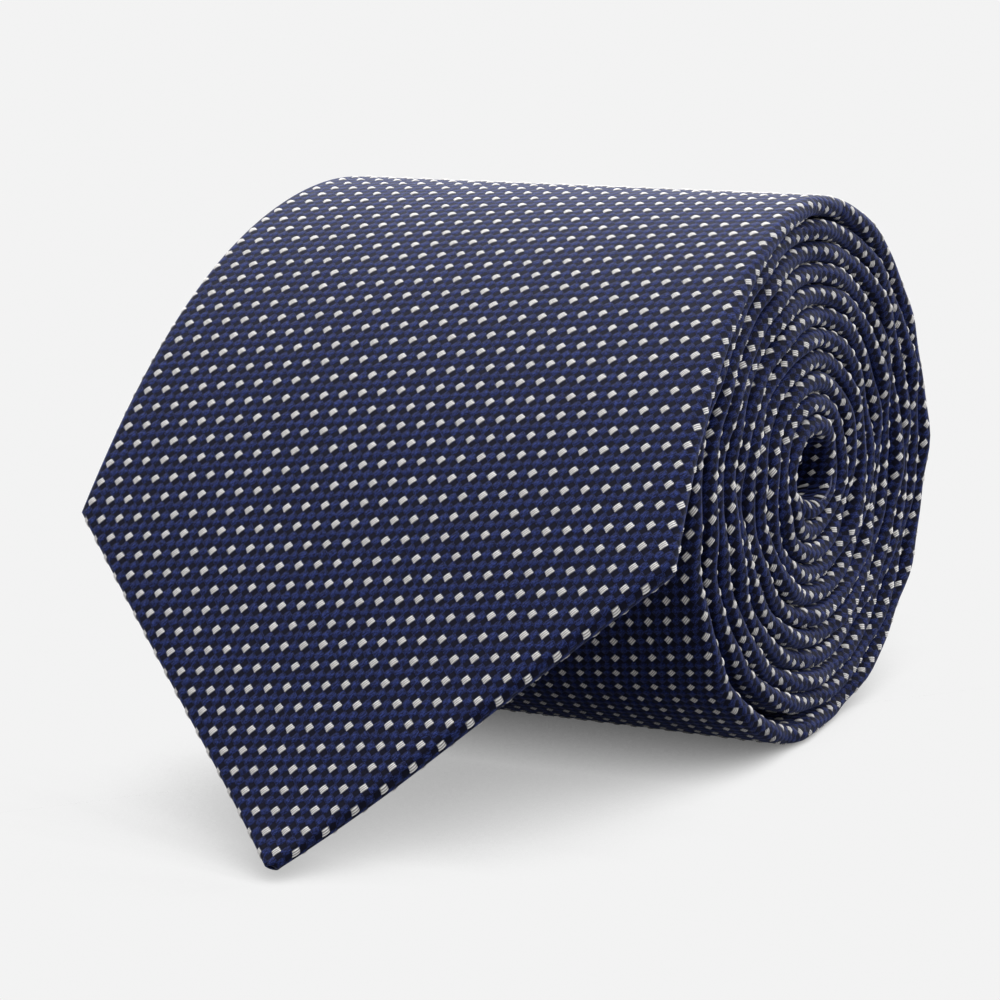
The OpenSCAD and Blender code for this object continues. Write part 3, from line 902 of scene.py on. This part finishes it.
NECK_AT, TAIL_AT = s_of(BLADE_END_A), s_of(NECK_END_A)
spots_right = [
    spots("spots_right_edge_blade", outer["rolled"], END_S, NECK_AT, lambda u, s:
          near_edge(1, 3.5, 3.5)(u, s) & ((s > OUTER_TURN_S) | (u > half_w(s) + 3))),
    spots("spots_right_edge_neck", outer["neck"], NECK_AT, TAIL_AT, near_edge(1, 3.5, 3.5)),
    spots("spots_right_edge_tail", outer["tail"], TAIL_AT, TIE_L, near_edge(1, 3.5, 5))]
spots_left = [
    spots("spots_left_edge_blade", outer["rolled"], END_S, NECK_AT, lambda u, s:
          near_edge(-1, 2.5, 11)(u, s) & ((s > OUTER_TURN_S) | (-u > half_w(s) + 3))),
    spots("spots_left_edge_neck", outer["neck"], NECK_AT, TAIL_AT, near_edge(-1, 4, 6)),
    spots("spots_left_edge_tail", outer["tail"], TAIL_AT, TIE_L, near_edge(-1, 6, 4))]
for face in outer.values():
    drop(face)


# ---------------------------------------------------------------- inner layers
def flat_layer(name, s_values, low, high, inset, material, columns=14):
    """A closed flat layer inside the shell, between two heights and set in from the edges."""
    s_values = np.asarray(s_values, float)
    w = np.maximum(half_w(s_values) - inset, 0.15)[:, None]
    share = np.linspace(-1, 1, columns)[None, :]
    x = mid_x(s_values)[:, None] + wander(s_values, 1.1)[:, None] + w*share
    uv = np.stack(np.broadcast_arrays(w*share, s_values[:, None]), -1)*MM
    top, bottom = (place(s_values[:, None], x, np.full_like(x, n)) for n in (high, low))
    return paint(slab(name, top, bottom, uv), material)


WOOL_INSET, LINING_INSET = 0.9, 0.6       # how far each layer stops short of the shell's edges
WOOL_END_A = TURNS_A - 40                 # turn angle where the wool ends, short of the tail's point
LINING_TOP, LINING_LOW = HALF_T - SILK_T - 0.05, -HALF_T + SILK_T + 0.25
TIPPING_TOP, TIPPING_LOW = LINING_LOW - 0.05, -HALF_T + SILK_T + 0.05
s_mid = s_end[s_end > 2.5]
wool_end = flat_layer("interlining_blade_end", s_mid, LINING_LOW, LINING_TOP, WOOL_INSET, WOOL)
wool_rolled = flat_layer("interlining_blade", s_of(np.append(np.arange(END_A, BLADE_END_A, 6), BLADE_END_A)),
                         LINING_LOW, LINING_TOP, WOOL_INSET, WOOL, 8)
s_wool_tail = s_of(np.append(np.arange(BLADE_END_A + 0.4, WOOL_END_A - 4, 8), WOOL_END_A))
wool_tail = flat_layer("interlining_tail", s_wool_tail, LINING_LOW, LINING_TOP, WOOL_INSET, WOOL, 8)
s_tip = s_end[(s_end > 3) & (s_end < FLAP_L - 4)]
lining_end = flat_layer("blade_lining", s_tip, TIPPING_LOW, TIPPING_TOP, LINING_INSET, LINING, 24)
s_tail_tip = s_of(np.append(np.arange(TURNS_A - 480, WOOL_END_A - 4, 6), WOOL_END_A))
lining_tail = flat_layer("tail_lining", s_tail_tip, TIPPING_LOW, TIPPING_TOP, LINING_INSET, LINING,
                         12)


# ---------------------------------------------------------------- threads
def arc(s0, s1, x0, x1, n0, rise, count=6):
    """One stitch: an arched row of points from (s0, x0) to (s1, x1), from the middle line, at height n0."""
    t = np.linspace(0, 1, count)
    s = s0 + (s1 - s0)*t
    x = mid_x(s) + x0 + (x1 - x0)*t
    return place(s, x, n0 + rise*np.sin(math.pi*t))


def slip_rows(s_from, s_to, step=7.0):
    """Long loose hand stitches that close the back, seen as short slants across the seam."""
    rows, side = [], 1
    for s in np.arange(s_from, s_to - 1.6, step):
        rows.append(arc(s, s + 1.3, -0.35*side, 0.35*side, -HALF_T + 0.02, -0.1))
        side = -side
    return rows


def point_rows(tip_s, to_s, sign, step=2.2):
    """Short stitches beside the tipping along both slanting edges of a point."""
    rows = []
    for side in (-1, 1):
        for k in np.arange(tip_s, to_s, step):
            s = k if sign > 0 else TIE_L - k
            x = side*(float(half_w(s)) - 1.7)
            rows.append(arc(s, s + sign*0.9, x, x + side*0.9, TIPPING_LOW - 0.02, -0.12, 5))
    return rows


def bar_rows(s_at, half_len, wraps, length, n0, rise):
    """A bar tack: wraps of thread side by side across the seam, over two core threads."""
    rows = [arc(s_at + 0.2, s_at + 0.2, -half_len, half_len, n0, rise*0.6, 10),
            arc(s_at + length - 0.2, s_at + length - 0.2, -half_len, half_len, n0, rise*0.6, 10)]
    for x in np.linspace(-half_len, half_len, wraps):
        bulge = rise*(1 - 0.55*abs(x/half_len)**3)
        rows.append(arc(s_at, s_at + length, x - 0.12, x + 0.12, n0, bulge, 7))
    return rows


def round_rows(a, radius_n, step):
    """Running stitches across a join of two panels, on the front and on the back."""
    rows = []
    s = s_of(a)
    w = float(half_w(s)) - 2
    for n, rise in ((radius_n, 0.05), (-radius_n, -0.05)):
        for x in np.arange(-w, w - 1.6, step):
            rows.append(arc(s, s + 0.05, x, x + 1.5, n, rise, 5))
    return rows


slip_end = threads("slip_stitches_end", slip_rows(TACK_S + 4, FLAP_L - 1), 0.11, NAVY_THREAD)
slip_rolled = threads("slip_stitches_rolled", slip_rows(FLAP_L + 2, TIE_L - 75), 0.09, NAVY_THREAD, 5)
bar_blade = threads("blade_bar_tack_thread", bar_rows(TACK_S + 0.1, 3.4, 30, 1.5, -HALF_T, -0.42), 0.13,
                    IVORY_THREAD)
bar_tail = threads("tail_bar_tack_thread", bar_rows(TIE_L - 62, 2.6, 24, 1.2, -HALF_T + 0.05, -0.12), 0.1,
                   IVORY_THREAD)
hem_blade = threads("blade_lining_stitches", point_rows(6, CORNER_S - 1, 1), 0.09, NAVY_THREAD)
hem_tail = threads("tail_lining_stitches", point_rows(5, 24, -1), 0.07, NAVY_THREAD, 5)
seam_blade = threads("blade_neck_join", round_rows(BLADE_END_A, HALF_T + 0.02, 2.4), 0.07, NAVY_THREAD, 5)
seam_tail = threads("neck_tail_join", round_rows(NECK_END_A, HALF_T + 0.02, 2.4), 0.07, NAVY_THREAD, 5)
seam_wool = threads("interlining_join", [arc(NECK_AT - 1, NECK_AT + 1, x, x + 1.2, 0.1, 0.6)
                                         for x in np.arange(-15, 14, 2.4)], 0.09, IVORY_THREAD, 5)


# ---------------------------------------------------------------- keeper loop and label on the back
def strip(name, a_from, a_to, half_l, low, high, material, bow=0.0):
    """A flat strip across the back of the tie between two turn angles."""
    s_values = s_of(np.linspace(a_from, a_to, 9))
    share = np.linspace(-1, 1, 30)[None, :]
    x = mid_x(s_values)[:, None] + half_l*share
    lift = bow*(1 - share**6) + np.zeros((len(s_values), 1))
    uv = np.stack(np.broadcast_arrays(half_l*share, s_values[:, None]), -1)*MM
    top, bottom = (place(s_values[:, None], x, n - lift) for n in (high, low))
    return paint(slab(name, top, bottom, uv), material)


keeper = strip("keeper_strip", 219.3, 232.7, 18.0, -HALF_T - 0.5, -HALF_T - 0.08, SILK, 0.5)
label = strip("woven_care_label", 293, 322, 11.0, -HALF_T - 0.13, -HALF_T - 0.05, LABEL)
keeper_rows, label_rows = [], []
for side in (-1, 1):
    for s in np.linspace(float(s_of(220.2)), float(s_of(231.8)), 9):
        keeper_rows.append(arc(s, s + 0.25, side*17.1, side*18.7, -HALF_T - 0.3, -0.3, 6))
    for s in np.linspace(float(s_of(294)), float(s_of(321)), 15):
        label_rows.append(arc(s, s + 0.4, side*10.6, side*11.5, -HALF_T - 0.08, -0.08, 5))
keeper_thread = threads("keeper_strip_stitches", keeper_rows, 0.13, NAVY_THREAD)
label_thread = threads("care_label_thread", label_rows, 0.06, NAVY_THREAD, 5)

# ---------------------------------------------------------------- which body each piece follows
for piece, *nodes in ((silk_end, "blade_panel_end"), (spots_end,), (wool_end, "interlining_end"),
                      (lining_end, "blade_tipping"), (slip_end, "slip_stitch_end"),
                      (bar_blade, "blade_bar_tack"), (hem_blade, "blade_tipping_stitches")):
    hang(piece, *nodes)
for piece, *nodes in ((silk_rolled, "blade_panel_rolled"), (silk_neck, "neck_panel"),
                      (silk_tail, "tail_panel"),
                      *((some,) for some in (spots_outer, *spots_right, *spots_left)),
                      (wool_rolled, "blade_interlining"), (wool_tail, "tail_interlining"),
                      (lining_tail, "tail_tipping"), (slip_rolled, "slip_stitch_rolled"),
                      (bar_tail, "tail_bar_tack"), (hem_tail, "tail_tipping_stitches"),
                      (seam_blade, "blade_neck_seam"), (seam_tail, "neck_tail_seam"),
                      (seam_wool, "interlining_seam"), (keeper, "keeper_loop"),
                      (keeper_thread, "keeper_loop_stitches"), (label, "care_label"),
                      (label_thread, "care_label_stitches")):
    wind(piece, *nodes)


# ---------------------------------------------------------------- sheets of cloth
def layer_width(inset):
    """The width of a layer that stops an inset short of the shell's edges, as a function of s."""
    return lambda s: 2*np.maximum(half_w(s) - inset, 0.15)


def flat_sheet(s_values, width):
    """Works out the width, length and flat area of the strip of cloth that a piece was cut from, between its
    ends along the tie, and keeps none of them.
    """
    wide, long = float(width(np.asarray(s_values, float)).max()), float(max(s_values) - min(s_values))
    area = min(cloth_area(s_values, width), wide*long*MM*MM)


flat_sheet(s_end, perimeter)
flat_sheet(s_rolled, perimeter)
flat_sheet(s_neck, perimeter)
flat_sheet(s_tail, perimeter)
flat_sheet(s_mid, layer_width(WOOL_INSET))
flat_sheet(np.linspace(END_S, NECK_AT, 60), layer_width(WOOL_INSET))
flat_sheet([NECK_AT, s_of(WOOL_END_A)], layer_width(WOOL_INSET))
flat_sheet(s_tip, layer_width(LINING_INSET))
flat_sheet(s_tail_tip, layer_width(LINING_INSET))
